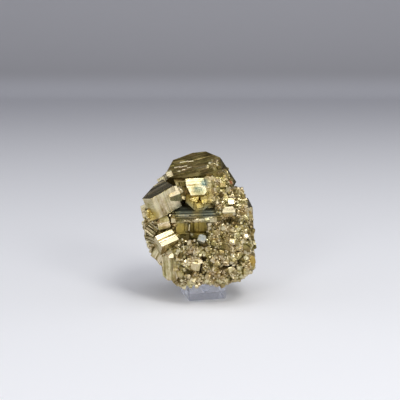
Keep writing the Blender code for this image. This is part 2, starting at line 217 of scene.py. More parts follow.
BACK_CRYSTALS = (
    Crystal("back_crown", (-5.0, 14.5, 61.0), (17.0, 14.0, 14.0), (172, 30, -12)),
    Crystal("back_crest", (8.5, 13.0, 60.5), (10.0, 11.0, 12.0), (150, 22, 16), lines="up"),
    Crystal("back_left", (-16.0, 15.5, 50.0), (12.0, 13.0, 13.0), (208, 14, 10), lines="up"),
    Crystal("back_right", (13.5, 17.0, 45.5), (13.0, 14.0, 14.0), (151, 6, 21)),
    Crystal("back_middle", (-4.5, 21.5, 40.5), (15.0, 13.0, 15.0), (187, -5, 31)),
    Crystal("back_foot_left", (-15.0, 17.0, 28.0), (12.0, 12.0, 14.0), (214, -14, 8)),
    Crystal("back_foot_right", (8.5, 18.5, 25.5), (13.0, 11.0, 14.0), (164, -15, -24), lines="up"),
    Crystal("flank", (-28.0, -6.0, 34.0), (8.0, 8.0, 9.0), (-70, -4, -12)),
    Crystal("side_left", (-28.0, 1.5, 44.0), (13.0, 12.0, 12.0), (-97, 6, 14), lines="up"),
    Crystal("side_left_low", (-24.0, 0.5, 28.5), (12.0, 12.0, 12.0), (-80, -12, -20)),
    Crystal("side_right", (24.2, 4.5, 41.0), (12.0, 13.0, 12.0), (98, 5, 12)),
    Crystal("side_right_low", (24.0, 5.0, 24.0), (11.0, 11.0, 12.0), (80, -12, -9), lines="up"),
)
# Where the stone's foot stands in the notch; nothing small grows there.
SEAT = Crystal("seat", (0.0, -6.5, 9.0), (13.0, 13.0, 13.0), (0, 0, 0))
LARGE_CRYSTALS = FRONT_CRYSTALS + (SEAT,) + BACK_CRYSTALS

# Hollows between the large crystals.
POCKETS = (
    Crystal("alcove", (-4.0, -24.0, 50.3), (21.0, 13.0, 20.0), (0, 0, 0)),
    Crystal("by_striped", (-9.2, -23.0, 32.5), (4.5, 11.0, 7.0), (0, 0, 4)),
    Crystal("by_block", (10.8, -14.0, 54.5), (3.5, 6.5, 7.0), (0, 0, 10)),
    Crystal("under_block", (16.5, -17.0, 42.6), (16.0, 2.6, 7.0), (8, 0, 0)),
    Crystal("by_foot", (-1.2, -22.0, 19.0), (2.6, 5.5, 6.0), (0, 0, 8)),
    Crystal("nook_left_hollow", (-10.4, -24.0, 39.3), (6.4, 5.8, 8.4), (0, 0, 0)),
    Crystal("nook_right_hollow", (-2.3, -24.0, 39.3), (9.8, 5.8, 11.4), (0, 0, 0)),
)

# Steps and chips that grew in the alcove, along the ledge and on the crown, too fine for the solid.
STEPS = (
    Crystal(
        "ledge_slope", (-2.4, -13.6, 46.9), (22.5, 13.0, 1.6), (2, 66, 2), tarnish=0.85,
        bands=(
            (0.1, 0.12, 1.0), (0.05, 0.05, 0.6), (0.1, 0.2, 1.4), (0.06, 0.0, 0.8),
            (0.09, 0.2, 1.4), (0.07, 0.0, 0.9), (0.1, 0.1, 1.3), (0.06, 0.2, 0.8), (0.12, 0.0, 1.4),
            (0.25, 0.0, 1.0),
        ),
    ),
    Crystal(
        "gold_wall", (-2.5, -12.6, 51.0), (12.0, 9.4, 5.0), (4, 14, -3),
        (((1, 0, 1), 0.82), ((-1, 0, 0.8), 0.84), ((-1, 0, -1.2), 0.56), ((1, 0, -1.1), 0.66)),
        lines="up", relief=0.35, tarnish=0.95,
    ),
    Crystal(
        "gold_back", (-7.2, -9.4, 56.2), (8.0, 9.0, 3.0), (24, 8, 4), lines="up", relief=0.3,
        tarnish=0.9,
    ),
    Crystal("gold_high", (-4.3, -14.6, 53.4), (4.0, 3.0, 4.0), (-12, 22, -16), tarnish=0.4),
    Crystal("gold_knob", (0.6, -13.9, 52.4), (3.2, 3.4, 4.0), (22, 12, 14), tarnish=0.3),
    Crystal("gold_low", (-1.6, -13.7, 49.6), (3.2, 2.4, 3.0), (10, 20, 6), tarnish=0.6),
    Crystal("nook_edge", (-6.7, -16.6, 39.2), (0.6, 3.4, 3.0), (4, 2, -6), tarnish=0.1),
    Crystal("ledge_chip_a", (-11.6, -18.9, 43.6), (4.4, 1.4, 2.0), (16, 16, 4), tarnish=0.0),
    Crystal("ledge_chip_b", (-8.0, -19.5, 43.4), (3.6, 1.2, 2.0), (8, 30, -6), tarnish=0.2),
    Crystal("ledge_chip_c", (-4.4, -19.3, 43.8), (4.2, 1.6, 2.0), (-12, 22, -4), tarnish=0.1),
    Crystal("ledge_chip_d", (-0.6, -19.5, 43.8), (3.4, 1.1, 2.0), (10, 14, 5), tarnish=0.2),
    Crystal("ledge_chip_e", (2.8, -19.1, 44.4), (4.0, 1.5, 2.0), (14, 20, 9), tarnish=0.3),
    Crystal("ledge_chip_f", (-9.4, -17.6, 45.3), (5.2, 0.8, 2.0), (6, 50, -3), tarnish=0.5),
    Crystal("ledge_chip_g", (-3.0, -17.2, 45.6), (6.0, 0.7, 2.0), (-4, 52, 3), tarnish=0.7),
    Crystal("dark_step", (4.2, -10.5, 49.9), (7.5, 4.5, 8.0), (14, 26, 4), relief=0.2, tarnish=0.9),
    Crystal("fleck_a", (-9.4, 3.6, 68.1), (4.6, 0.8, 1.0), (-16, 51, 16), tarnish=-0.3),
    Crystal("fleck_b", (-6.2, 3.2, 68.4), (3.0, 0.6, 1.0), (-14, 52, 14), tarnish=-0.2),
    Crystal("fleck_c", (-12.8, 0.2, 66.0), (3.2, 0.8, 1.0), (-18, 50, 18), tarnish=-0.2),
    Crystal("fleck_d", (-9.8, -0.2, 66.4), (4.2, 0.9, 1.0), (-15, 51, 19), tarnish=-0.3),
    Crystal("fleck_e", (-6.8, -1.4, 66.2), (2.4, 0.5, 1.0), (-14, 53, 17), tarnish=-0.2),
    Crystal("fleck_f", (-12.2, -3.0, 64.4), (2.2, 1.0, 1.0), (-18, 50, 22), tarnish=-0.3),
    Crystal("fleck_g", (-9.6, -2.6, 65.2), (2.0, 0.6, 1.0), (-14, 51, 18), tarnish=-0.2),
    Crystal("rim_bit", (-16.6, -4.6, 63.4), (3.0, 3.8, 3.0), (-14, 40, 30), tarnish=0.0),
    Crystal("rim_chip", (-13.4, -4.4, 62.6), (2.4, 2.0, 3.0), (10, 45, 15), tarnish=0.1),
)

# Round lumps that stand out of the crust, as (middle of the front, size, turn, tarnish).
LUMPS = (
    ((-3.6, -22.4, 21.2), 4.8, (10, 10, -12), 0.4),
    ((-6.4, -20.4, 13.0), 3.6, (-10, 5, 20), 0.4),
    ((14.1, -21.6, 19.2), 4.0, (20, 15, 10), 0.5),
    ((21.2, -18.4, 17.6), 3.6, (35, 10, -15), 0.45),
    ((9.0, -22.0, 15.3), 3.4, (8, 6, 22), 0.6),
    ((1.9, -22.4, 16.2), 3.4, (-20, 12, -20), 0.55),
    ((17.8, -19.8, 25.9), 3.8, (30, 14, 22), 0.65),
    ((14.0, -20.0, 33.1), 3.2, (12, 30, -10), 0.15),
    ((6.3, -22.4, 22.8), 3.2, (-8, 18, 25), 0.55),
    ((9.2, -22.2, 28.7), 2.8, (5, 28, 12), 0.45),
    ((1.9, -21.9, 30.0), 3.6, (-15, 12, 30), 0.6),
    ((5.0, -22.4, 33.0), 3.0, (12, 8, -22), 0.7),
    ((6.4, -19.6, 37.3), 3.4, (10, 5, 20), 0.7),
    ((20.9, -15.2, 34.6), 2.8, (15, 36, 5), 0.05),
    ((21.2, -16.8, 28.9), 4.4, (30, 8, -18), 1.0),
    ((23.5, -12.8, 21.6), 5.4, (16, 8, 10), 0.6),
    ((-12.6, -20.6, 28.4), 3.0, (14, 12, 20), 0.4),
    ((-10.2, -20.2, 29.8), 2.4, (-10, 26, 8), 0.1),
    ((-11.2, -21.4, 17.3), 3.6, (-5, 10, 15), 0.7),
    ((3.6, -12.6, 54.2), 3.0, (-8, 20, -12), 0.8),
    ((9.6, -10.6, 58.6), 3.2, (15, 18, -8), 0.85),
)

# Dark crevices between the lumps, cut into the core; nothing small grows over them.
CREVICES = (
    Crystal("crevice_low", (10.4, -24.5, 20.6), (8.0, 1.7, 7.0), (4, 0, 4)),
    Crystal("crevice_mid", (0.6, -24.5, 24.7), (3.2, 2.2, 6.5), (0, 0, 20)),
    Crystal("crevice_foot", (-7.2, -24.0, 17.9), (2.6, 1.8, 7.0), (0, 0, -25)),
    Crystal("crevice_nook", (-4.5, -22.0, 35.0), (14.0, 2.0, 7.0), (0, 0, 4)),
    Crystal("crevice_block", (10.6, -17.5, 55.5), (2.2, 4.0, 8.0), (0, 0, 12)),
)

# Places where the crust is made browner and darker, partly as tarnish and partly as painted shade,
# such as under the block, as (middle in mm, radius in mm, added tarnish and shade).
TARNISH_AND_SHADE_SPOTS = (
    ((4.9, -3.0, 67.1), 4.5, 0.2),
    ((12.4, -1.6, 60.6), 5.5, 0.7),
    ((5.8, -12.5, 54.5), 4.5, 0.45),
    ((16.0, -14.0, 52.0), 8.5, 0.5),
    ((23.0, -9.0, 34.0), 8.0, 0.5),
    ((14.0, -16.0, 43.5), 5.5, 0.7),
    ((9.0, -21.0, 20.5), 4.0, 0.35),
    ((17.5, -18.0, 23.5), 3.0, 0.4),
)

# The small crystals of the solid, with its values.
SEED = 11
SMALL_TRIES = 3200
FINE_SIZES = (2.4, 4.2)  # over the lower front and the right
KNOB_SIZES = (3.4, 6.0)  # over the rest of the front
BACK_SIZES = (5.0, 10.0)  # over the back and the sides
BACK_FROM = 0.15  # a surface that faces +Y by at least this much is the back
FINE_RIGHT_OF = 4.0  # x of the finely grown right side
FINE_BELOW = 31.0  # height at x = 0 of the finely grown lower part
FINE_RISE = 0.25  # how steeply that height rises to the right
SIDES = (0.8, 1.15)  # a small crystal's sides, as shares of its size
SUNK = (0.1, 0.3)  # how deep its middle lies under the surface, as a share of its size
SUNK_MORE = 0.25  # how much deeper it lies where it would stand out of the outline
CLEARANCE = 0.3  # how far it stays from a large crystal, as a share of its size
CROWDING = 0.62  # least distance between two neighbours, as a share of the larger one's size
LOWEST = 8.0  # height that the small crystals don't hang below

# --- the stand ---
STAND_SIDE = 19.0
STAND_HEIGHT = 9.0
STAND_TURN = 14.0  # degrees about Z
NOTCH_FLOOR = 2.0  # height of the notch's deepest point
NOTCH_TURN = 15.0  # degrees about Z, of one of the notch's three valleys
BED_GAP = 0.3  # between the stone and the stand
SEAT_SIDE = 12.0  # edge of the cube whose lowest corner the notch holds
SEAT_TIP = 6.6  # height where that corner ends, chipped flat

# --- finish of the shapes ---
EDGE_WEAR = 0.10  # mm, the flat that wear leaves along a crystal's edges
LINE_SPACING = (0.3, 1.0)  # mm between the growth lines that stand out
LAST_LINE = 0.3  # mm, no line comes closer than this to the far edge
SHALLOW = 1.6  # a higher power makes more of the lines shallow
STRIP_TARNISH = 0.12  # how much the tarnish varies from strip to strip
ON_PLANE = 2e-6  # m, a vertex this near to a face's plane lies on it
UNIT_CUBE = (1 / MM,) * 3  # mm, a cube 1 m wide that is scaled down to size later
MAP_SHIFTS = (0, 90)  # mm, each crystal has a place of its own on the streaks' pattern
SIDES_APART = 40  # mm

LARGE_FROM = 4.6  # mm, small crystals from this size on have growth lines too
SMALL_RELIEF = 0.08
SMALL_TARNISH = (0.2, 0.75)
# The smaller ones' shapes, as shares of their size.
SMALL_WEAR = 0.03
STEP_WIDTH = 0.11
STEP_DEPTH = 0.035
LUMP_WEARS = (0.2, 0.27)
TWIN_WEAR = 0.08
TWIN_SHARE = 0.6
TWIN_PLACE = (0.22, -0.2, 0.22)
TWIN_TURN = (0.5, 0.3, 0.7)  # radians

PLATES = 7  # thin growth plates on a wide face
PLATE_WIDTHS = (0.18, 0.42)  # shares of the face's width
PLATE_HEIGHTS = (0.1, 0.22)  # shares of the face's height
PLATE_THICKNESS = 1.6
PLATES_ACROSS = (-0.30, 0.22)  # shares of the face's width, from its middle to the plate's
PLATES_UP = (-0.30, 0.26)
PLATE_STEPS = (0.08, 0.22)  # mm that a plate stands out
PLATE_SLANT = 4  # degrees that its lines differ from the face's
PLATE_RELIEF = 0.12
PLATE_FRESHER = 0.1  # how much less tarnished than the face
PLATE_SKEW = 0.8  # how far its two cut ends lean at most
PLATE_REACH = 0.8  # share of its half width where they lie

LUMP_HEIGHT = 0.9  # share of a lump's width
LUMP_FLATS = 5
LUMP_CUTS = (0.62, 0.8)  # shares of its half size where the flats lie
LUMP_ROUNDING = 0.14  # share of its width
LUMP_TONE = 0.7

GRAIN_SEED = 23
GRAIN_TRIES = 60000
GRAIN_SIZES = (0.8, 2.3)
GRAIN_SIDES = (0.8, 1.25)  # a grain's sides, as shares of its size
GRAIN_SUNK = (-0.1, 0.35)  # share of its size that a grain's middle lies under the surface
GRAIN_CROWDING = 0.42  # least distance of two grains, as a share of their two sizes
GRAIN_TARNISH = (0.24, 0.3)  # mean and spread
DEEP_GRAIN_SHADE = 0.9  # painted shade: added to the tarnish of a grain that lies one whole size deep
MOST_TARNISH = 1.3  # before the spots of added tarnish and painted shade are added
TARNISH_AND_SHADE_FADE = 1.5  # a spot of added tarnish and painted shade fades over the outer 1 / 1.5 of its radius
SLIVER = 1e-12  # m2, no grain stands on a smaller triangle
TWELVE_REACH = 0.68  # where the faces of the twelve-faced grain lie
GRAIN_WEAR = 0.22  # share of a worn grain's size

CRUST_GAP = 0.4  # mm, how far the crust stays from a clean crystal
CRUSTED_GAP = 0.06  # mm, the same for a crystal that the crust partly covers
LUMP_GAP = 0.62  # share of a lump's size, from its middle to the nearest grain
FREE_BEFORE = 4.5  # mm, nothing small grows this far before a clean front face
# The crust is whole right of x and below z, as (x, z), and thinner elsewhere.
WHOLE_CRUST = ((-7, 38), (9, 47))
THIN_CRUST = 0.55
BACK_CRUST = 0.4  # on what faces the back
# The upper left part of the front: left of x, above z, share that the crust covers.
UPPER_LEFT = (-22, 36, 0.8)
# Where the crust grows over a clean crystal, or leaves the stone bare, as (middle in mm, radius
# in mm, share).
CRUSTED_SPOTS = (
    ((4.9, -3.0, 67.1), 3.0, 0.9),
    ((5.9, 0.7, 68.9), 1.8, 0.6),
    ((12.4, -1.6, 60.6), 4.6, 0.8),
    ((-25.5, -7.0, 26.5), 6.5, 0.05),
    ((-24.5, 3.0, 25.0), 8.0, 0.1),
)
CORE_GRAIN = 0.8  # mm
CORE_TARNISH_AND_SHADE = 1.1  # what shows between the grains is brown and dark, partly tarnish and partly painted shade
# painted shade: the core is given a darker tone too
CORE_SHADED_TONE = 0.3
# How the core's surface is broken, as (width of the lumps in mm, depth in mm, texture).
CORE_ROUGHNESS = ((3.0, 0.8, "VORONOI"), (1.0, 0.4, "CLOUDS"))
BOX_MARGIN = 0.02  # mm, how far the looks stay inside the solid's box

# --- finish of the surfaces ---
FRESH_BRASS = "#DBCFA8"
OLIVE_BRASS = "#A3925A"
BROWN_TARNISH = "#474020"
RUST = "#A8572C"
DARK_RUST = "#5A2618"
OCHRE = "#B4964A"
# a golden film, also used as painted bounce light under the bright crystal
GOLDEN_FILM_AND_BOUNCE_LIGHT = "#BCA656"
# painted reflection: the teal of a dark thing mirrored in the bright crystal's face
PAINTED_TEAL_REFLECTION = "#3F5F5E"
GREY_FILM = "#7C8486"
SLATE_FILM = "#6A7268"

GROWN_SHINE = (0.24, 0.52)  # roughness of fresh and of fully tarnished faces
CRUST_SHINE = (0.32, 0.60)
FULL_TARNISH = 1.2  # tarnish from which a face is as rough as it gets
OLIVE_FROM_TO = (0.1, 0.7)  # tarnish over which the fresh brass turns olive
BROWN_FROM_TO = (0.6, 1.4)  # and then brown
TONES = (0.80, 1.14)  # how dark and how light single faces and grains are
# Sizes in mm of what the surface shows, and how much each changes the tarnish.
PATCH_WIDTH, PATCH_TARNISH = 5.0, 2.0
PATCH_ROUGHNESS = 0.62  # how ragged the patches' edges are
SPECK_WIDTH, SPECK_TARNISH = 0.6, 0.5  # drawn about twice as coarse as they are
STREAK_LENGTH, STREAK_WIDTH, STREAK_TARNISH = 6.0, 0.35, 1.0
STREAK_HEIGHT = 2.5  # how much more the streaks stand out than the specks
LEAN_WIDTH = 4.0  # mm, places where the brass leans to copper or to green
LEAN_FROM_TO = (0.3, 0.7)  # values of the pattern between which the hue changes
LEANS = (0.48, 0.516)  # as hues, 0.5 leaves the colour as it is
SATURATION = 0.98
BUMP_DEPTH = 0.05  # mm
BUMP_STRENGTH = 0.7
STAIN_CORE = 0.4  # share of a stain's radius inside which it is whole
STAIN_STRENGTH = 1.7  # makes up for what the specks take from it

COLD_CLEAR = "#F4F6FF"
ACRYLIC_IOR = 1.49
ACRYLIC_HAZE = 0.2  # share of the light that it scatters
SCRATCH_SPREAD = 1.5  # mm, how far apart the places with more scratches lie
SCRATCH_ROUGHNESS = 0.06

# Spots of rust and of thin film, and spots of painted reflection and painted bounce light, as
# (middle in mm, radius in mm, colour, how metallic they stay).
STAINS = (
    ((13.4, -2.2, 58.6), 1.9, RUST, 0.0),
    ((24.6, -12.4, 21.6), 4.4, OCHRE, 0.8),
    ((-22.7, -17.0, 43.2), 2.2, DARK_RUST, 0.3),
    ((-10.4, -15.5, 50.2), 1.8, DARK_RUST, 0.3),
    # Painted reflection of a dark blue-green thing in the bright crystal's face.
    ((-2.2, -14.6, 56.9), 3.8, PAINTED_TEAL_REFLECTION, 1.0),
    ((0.8, -11.4, 60.2), 2.8, PAINTED_TEAL_REFLECTION, 1.0),
    ((-0.5, -22.2, 35.3), 3.6, GREY_FILM, 0.6),
    # Painted bounce light: the wall under the bright crystal is made golden and lighter.
    ((-2.5, -12.6, 51.0), 7.5, GOLDEN_FILM_AND_BOUNCE_LIGHT, 1.0),
    ((-8.6, -14.6, 46.2), 6.8, SLATE_FILM, 1.0),
    ((2.0, -15.0, 45.6), 6.0, SLATE_FILM, 1.0),
    ((-2.4, -13.0, 38.6), 6.0, GOLDEN_FILM_AND_BOUNCE_LIGHT, 1.0),
    ((-11.0, -15.8, 38.6), 4.0, GOLDEN_FILM_AND_BOUNCE_LIGHT, 1.0),
    ((-24.4, -17.0, 45.8), 4.6, GOLDEN_FILM_AND_BOUNCE_LIGHT, 1.0),
)


def linear(code):
    """The linear colour of an sRGB hex value."""
    parts = [int(code[i : i + 2], 16) / 255 for i in (1, 3, 5)]
    return [p / 12.92 if p <= 0.04045 else ((p + 0.055) / 1.055) ** 2.4 for p in parts] + [1.0]


# --- work on one mesh by hand ---
def only(obj):
    """Leaves this object as the one that is selected and active."""
    bpy.ops.object.select_all(action="DESELECT")
    obj.select_set(True)
    bpy.context.view_layer.objects.active = obj


def edit(obj):
    """Opens this object alone for work on its mesh."""
    only(obj)
    bpy.ops.object.mode_set(mode="EDIT")


def leave():
    bpy.ops.object.mode_set(mode="OBJECT")


def pick_faces(obj, wanted):
    """In edit mode, selects the faces that the function wants, and returns how many there are."""
    bpy.ops.mesh.select_mode(type="FACE")
    bpy.ops.mesh.select_all(action="DESELECT")
    shape = bmesh.from_edit_mesh(obj.data)
    count = 0
    for face in shape.faces:
        if wanted(face):
            face.select_set(True)
            count += 1
    bmesh.update_edit_mesh(obj.data)
    return count


def wear(width, segments=1):
    """In edit mode, bevels all edges by this width in metres."""
    bpy.ops.mesh.select_all(action="SELECT")
    bpy.ops.mesh.bevel(offset=width, offset_type="OFFSET", segments=segments, affect="EDGES")


def saw_off(place, normal):
    """In edit mode, takes off all that lies beyond a plane, and closes the cut."""
    bpy.ops.mesh.select_all(action="SELECT")
    bpy.ops.mesh.bisect(
        plane_co=place, plane_no=normal, use_fill=True, clear_outer=True, threshold=1e-6
    )


def modify(obj, kind, **settings):
    """Adds a modifier with its settings, and applies it."""
    modifier = obj.modifiers.new(kind, kind)
    for name, value in settings.items():
        setattr(modifier, name, value)
    only(obj)
    bpy.ops.object.modifier_apply(modifier=modifier.name)


def in_scene(obj):
    """Links a new object to the scene."""
    bpy.context.scene.collection.objects.link(obj)
    return obj


def joined(objects, name):
    """Joins the objects, each with its own mesh, into one with that name."""
    bpy.ops.object.select_all(action="DESELECT")
    for obj in objects:
        obj.select_set(True)
    bpy.context.view_layer.objects.active = objects[0]
    bpy.ops.object.join()
    made = bpy.context.object
    made.name = made.data.name = name
    return made


# --- crystals ---
def turned(turn):
    """The matrix of a yaw, pitch and roll in degrees."""
    yaw, pitch, roll = (math.radians(angle) for angle in turn)
    return Euler((-pitch, -roll, yaw), "YXZ").to_matrix().to_4x4()


def axes_of(crystal):
    """The crystal's own axes in the world, with their origin at its centre."""
    turn = turned(crystal.turn)
    into = turn @ Vector((0, crystal.size[2] * MM / 2, 0))
    return Matrix.Translation(Vector(crystal.face) * MM + into) @ turn


def block_of(name, size):
    """A cube primitive made to size, about the origin."""
    width, height, depth = (length * MM for length in size)
    bpy.ops.object.select_all(action="DESELECT")
    bpy.ops.mesh.primitive_cube_add(size=1, location=(0, 0, 0), scale=(width, depth, height))
    bpy.ops.object.transform_apply(location=False, rotation=False, scale=True)
    made = bpy.context.object
    made.name = name
    return made


def take_off(size, cuts):
    """In edit mode, cuts off the corners and edges that the crystal lacks."""
    half = Vector((size[0], size[2], size[1])) * (MM / 2)
    for direction, share in cuts:
        normal = Vector(direction).normalized()
        reach = sum(abs(a * b) for a, b in zip(normal, half))
        saw_off(normal * reach * share, normal)


# The way the lines of a face run, by the axis it faces and the way the front face's lines run.
RUNS = {"across": {0: 2, 1: 0, 2: 1}, "up": {0: 1, 1: 2, 2: 0}}
FRONT = (1, -1)  # the axis and side that the front face is on
LINED_FACES = (FRONT, (0, -1), (0, 1), (2, -1), (2, 1))  # the hidden back has no lines

# The strips of one lined face. The lines between them lie at `steps` mm along the direction `over`.
Strips = namedtuple("Strips", "over steps depths tarnishes tones")


def half_of(size):
    """Half of a crystal's width, depth and height, along its own axes, in mm."""
    return (size[0] / 2, size[2] / 2, size[1] / 2)


def strips_of(row, chance):
    """Divides each main face into strips of growth, each with a tarnish and a tone of its own."""
    half = half_of(row.size)
    found = {}
    for axis, side in LINED_FACES:
        over = Vector((0, 0, 0))
        over[3 - axis - RUNS[row.lines][axis]] = 1
        if (axis, side) == FRONT:
            over.rotate(Matrix.Rotation(math.radians(-row.slant), 3, "Y"))
        reach = sum(abs(a * b) for a, b in zip(over, half))
        if row.bands and (axis, side) == FRONT:
            ends = np.cumsum([share for share, _, _ in row.bands])[:-1]
            steps = [(2 * end - 1) * reach for end in ends]
            depths = [depth for _, depth, _ in row.bands[:-1]]
            tarnishes = [own for _, _, own in row.bands]
        else:
            steps, at = [], -reach + chance.uniform(*LINE_SPACING)
            while at < reach - LAST_LINE:
                steps.append(at)
                at += chance.uniform(*LINE_SPACING)
            depths = [chance.random() ** SHALLOW * row.relief for _ in steps]
            tarnishes = [row.tarnish + chance.gauss(0, STRIP_TARNISH) for _ in range(len(steps) + 1)]
        tones = [chance.random() for _ in tarnishes]
        found[axis, side] = Strips(over, steps, depths, tarnishes, tones)
    return found


def grow_lines(obj, size, strips):
    """In edit mode, cuts the main faces along the lines of their strips, and sinks every line."""
    half = half_of(size)
    for (axis, side), own in strips.items():
        plane = side * half[axis] * MM

        def on_face(face, axis=axis, side=side, plane=plane):
            flat = face.normal[axis] * side > 0.9999
            return flat and abs(face.verts[0].co[axis] - plane) < ON_PLANE

        for step in own.steps:
            if pick_faces(obj, on_face):
                place = own.over * step * MM
                bpy.ops.mesh.bisect(plane_co=place, plane_no=own.over, threshold=1e-7)
    shape = bmesh.from_edit_mesh(obj.data)
    moves = {}
    for (axis, side), (over, steps, depths, _, _) in strips.items():
        plane = side * half[axis] * MM
        surface = [v for v in shape.verts if abs(v.co[axis] - plane) < ON_PLANE]
        for step, depth in zip(steps, depths):
            for vertex in surface:
                if abs(vertex.co.dot(over) - step * MM) < ON_PLANE:
                    moves[vertex] = (axis, -side * depth * MM)
    for vertex, (axis, move) in moves.items():
        vertex.co[axis] += move
    bmesh.update_edit_mesh(obj.data)


def map_lines(obj, lines, shift, strips=None, tarnish=0.5, tone=0.5):
    """Gives the mesh its line map, with U along the growth lines in mm, its tarnish and its tone."""
    mesh = obj.data
    uv = mesh.uv_layers.new(name="lines")
    tarnishes, tones = [], []
    for face in mesh.polygons:
        normal = face.normal
        axis = max(range(3), key=lambda i: abs(normal[i]))
        own = strips.get((axis, 1 if normal[axis] > 0 else -1)) if strips else None
        if own:
            over = own.over
            strip = bisect(own.steps, face.center.dot(over) / MM)
            tarnish, tone = own.tarnishes[strip], own.tones[strip]
        else:
            over = Vector((0, 0, 0))
            over[3 - axis - RUNS[lines][axis]] = 1
        facing = Vector((0, 0, 0))
        facing[axis] = 1
        along = over.cross(facing)
        for corner in face.loop_indices:
            at = mesh.vertices[mesh.loops[corner].vertex_index].co / MM
            # The sides of one crystal lie far apart on the map.
            up = at.dot(over) + shift * 1.7 + axis * SIDES_APART
            uv.data[corner].uv = (at.dot(along) + shift, up)
        tarnishes.append(tarnish)
        tones.append(tone)
    give_values(obj, tarnishes, tones)


def give_values(obj, tarnishes, tones):
    """Gives every face its tarnish and its tone. Each is a list, or one number for all faces."""
    mesh = obj.data
    for name, values in (("tarnish", tarnishes), ("tone", tones)):
        layer = mesh.attributes.new(name, "FLOAT", "FACE")
        whole = np.broadcast_to(np.asarray(values, np.float32), len(mesh.polygons))
        layer.data.foreach_set("value", np.ascontiguousarray(whole))


def crystal(row, place, chance):
    """One crystal with worn edges and growth lines, put in its place."""
    made = block_of(row.name, row.size)
    strips = strips_of(row, chance)
    edit(made)
    take_off(row.size, row.cuts)
    wear(EDGE_WEAR * MM)
    grow_lines(made, row.size, strips)
    leave()
    map_lines(made, row.lines, chance.uniform(*MAP_SHIFTS), strips)
    made.data.transform(place)
    return made


# --- the core and the small crystals, at the places that they have in the solid ---
def lofted_core():
    """The body of the stone, lofted through its sections in the order that its solid has."""
    heights = [height for _, height in OUTLINE]
    low, span = min(heights), max(heights) - min(heights)
    shape = bmesh.new()
    rings = []
    for y, wide, bottom, top in SECTIONS:
        ring = []
        for x, height in OUTLINE:
            across = OUTLINE_MIDDLE + (x - OUTLINE_MIDDLE) * wide
            up = bottom + (height - low) / span * (top - bottom)
            ring.append(shape.verts.new(Vector((across, y, up)) * MM))
        rings.append(ring)
    for back, front in zip(rings, rings[1:]):
        for i in range(len(OUTLINE)):
            j = (i + 1) % len(OUTLINE)
            shape.faces.new((back[i], back[j], front[j], front[i]))
    shape.faces.new(rings[0])
    shape.faces.new(rings[-1])
    bmesh.ops.triangulate(shape, faces=shape.faces[:])
    bmesh.ops.recalc_face_normals(shape, faces=shape.faces[:])
    mesh = bpy.data.meshes.new("pyrite_core")
    shape.to_mesh(mesh)
    shape.free()
    return in_scene(bpy.data.objects.new(mesh.name, mesh))


def surface_points(obj, chance, count):
    """Random points on the mesh, as (point, normal), each face as likely as it is large."""
    faces = [face for face in obj.data.polygons if face.area > 0]
    areas = [face.area for face in faces]
    vertices = obj.data.vertices
    for face in chance.choices(faces, weights=areas, k=count):
        a, b, c = (vertices[index].co for index in face.vertices)
        u, v = chance.random(), chance.random()
        if u + v > 1:
            u, v = 1 - u, 1 - v
        yield a + (b - a) * u + (c - a) * v, face.normal.copy()


def sizes_at(point, normal):
    """The sizes of small crystals at a point: the lower front and the right are finely grown."""
    if normal.y > BACK_FROM:
        return BACK_SIZES
    x, z = point.x / MM, point.z / MM
    fine = x > FINE_RIGHT_OF or z < FINE_BELOW + FINE_RISE * x
    return FINE_SIZES if fine else KNOB_SIZES


def in_outline(point):
    """Whether the point stays inside the outline that the viewer sees, and above the stand's foot."""
    x, height = point.x / MM, point.z / MM + SIGHT_FALL * point.y / MM
    inside = False
    for (x1, z1), (x2, z2) in zip(OUTLINE, OUTLINE[1:] + OUTLINE[:1]):
        if (z1 > height) != (z2 > height) and x < x1 + (height - z1) * (x2 - x1) / (z2 - z1):
            inside = not inside
    return inside and point.z > LOWEST * MM


def on_large(point, size, places):
    """Whether a small crystal of this size would stand on a large crystal or in a pocket."""
    apart = size * CLEARANCE
    for inverse, (width, height, depth) in places:
        across, into, up = (inverse @ point) / MM
        beside = abs(across) < width / 2 + apart and abs(up) < height / 2 + apart
        if beside and abs(into) < depth / 2 + apart:
            return True
    return False


def small_places(core, chance):
    """The places and sides of the solid's small crystals, as (matrix, sides, size)."""
    places = [(axes_of(row).inverted(), row.size) for row in LARGE_CRYSTALS + POCKETS]
    placed = []
    for point, normal in surface_points(core, chance, SMALL_TRIES):
        size = chance.uniform(*sizes_at(point, normal))
        spin = Euler([chance.uniform(0, math.tau) for _ in range(3)]).to_matrix().to_4x4()
        sides = [size * chance.uniform(*SIDES) for _ in range(3)]
        depth = size * chance.uniform(*SUNK)
        if any((point - at).length < CROWDING * max(size, other) * MM for at, other in placed):
            continue
        if on_large(point, size, places):
            continue
        place = Matrix.Translation(point - normal * depth * MM) @ spin
        half = Vector((sides[0], sides[2], sides[1])) * (MM / 2)
        corners = [
            place @ Vector((half.x * i, half.y * j, half.z * k))
            for i, j, k in product((-1, 1), repeat=3)
        ]
        if not all(in_outline(corner) for corner in corners):
            # It lies deeper here, or is left out.
            deeper = -normal * size * SUNK_MORE * MM
            place = Matrix.Translation(deeper) @ place
            if not all(in_outline(corner + deeper) for corner in corners):
                continue
        placed.append((point, size))
        yield place, sides, size


def clearing(row):
    """The space before a clean face, where nothing else grows."""
    forward = axes_of(row).to_3x3() @ Vector((0, -FREE_BEFORE, 0))
    return row._replace(face=tuple(Vector(row.face) + forward), size=(*row.size[:2], FREE_BEFORE))


